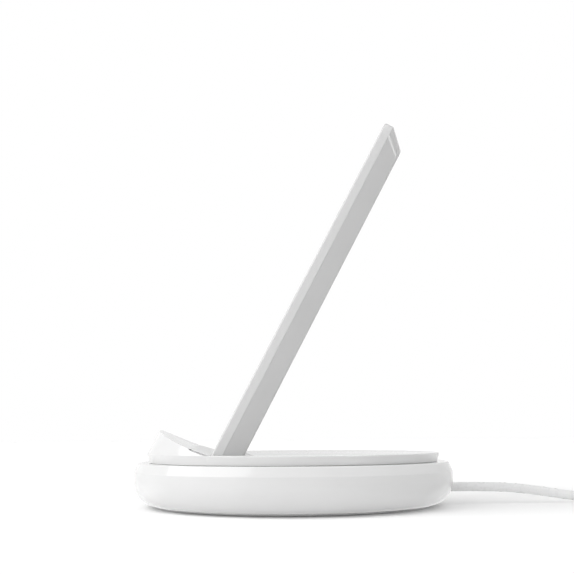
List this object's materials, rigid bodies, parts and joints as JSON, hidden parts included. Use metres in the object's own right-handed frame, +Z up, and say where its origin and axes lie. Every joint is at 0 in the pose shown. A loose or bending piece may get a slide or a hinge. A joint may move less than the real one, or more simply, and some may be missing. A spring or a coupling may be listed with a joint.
{
  "type": "wireless desk charger",
  "caption": "Round weighted base with a lipped deck and a leaning upright that charges a resting phone without a plug; captive cord at the back.",
  "frame": {"origin": "middle of the round foot, on the surface the charger stands on", "axes": "+Z up, +X to the back where the cord leaves and the upright leans, +Y to the left seen from the front"},
  "size_m": [0.2662, 0.1401, 0.1545],
  "materials": {
    "housing_white": "glossy white moulding",
    "cover_white": "glossy white moulding",
    "shell_white": "glossy white moulding, a touch greyer",
    "soft_foot": "matt soft ring",
    "soft_pad": "satin soft strip",
    "weight_steel": "zinc plated",
    "bracket_steel": "zinc plated",
    "screw_steel": "dark plated",
    "board_green": "satin board lacquer",
    "component_black": "matt",
    "capacitor_metal": "satin",
    "socket_ivory": "matt",
    "carrier_white": "matt moulding",
    "ferrite": "matt dark sheet",
    "winding_copper": "lacquered copper",
    "flex_amber": "amber film",
    "cord_white": "satin sheath",
    "tie_grey": "satin band",
    "plug_white": "satin moulding",
    "plug_metal": "nickel plated",
    "plug_tongue": "matt"
  },
  "bodies": {
    "root": {"foot_ring": "soft_foot", "base_bowl": "housing_white", "ballast_plate": "weight_steel", "ballast_screws": "screw_steel", "main_board": "board_green", "board_screws": "screw_steel", "inductors": "component_black", "capacitors": "capacitor_metal", "chips": "component_black", "flex_socket": "socket_ivory", "cord_socket": "socket_ivory", "inner_lead": "cord_white", "cord_clamp": "socket_ivory", "clamp_screws": "screw_steel", "cord_grommet": "cord_white", "deck": "housing_white", "deck_screws": "screw_steel", "ledge_pad": "soft_pad", "stem_bracket": "bracket_steel", "bracket_screws": "screw_steel", "coil_carrier": "carrier_white", "carrier_screws": "screw_steel", "ferrite_sheets": "ferrite", "lower_coil": "winding_copper", "upper_coil": "winding_copper", "thermistor": "component_black", "flex_cable": "flex_amber", "front_cover": "cover_white", "rear_shell": "shell_white", "cord_run": "cord_white", "cord_coil": "cord_white", "cord_tail": "cord_white", "cord_tie": "tie_grey", "plug_body": "plug_white", "plug_shell": "plug_metal", "plug_tongue": "plug_tongue"}
  },
  "joints": []
}
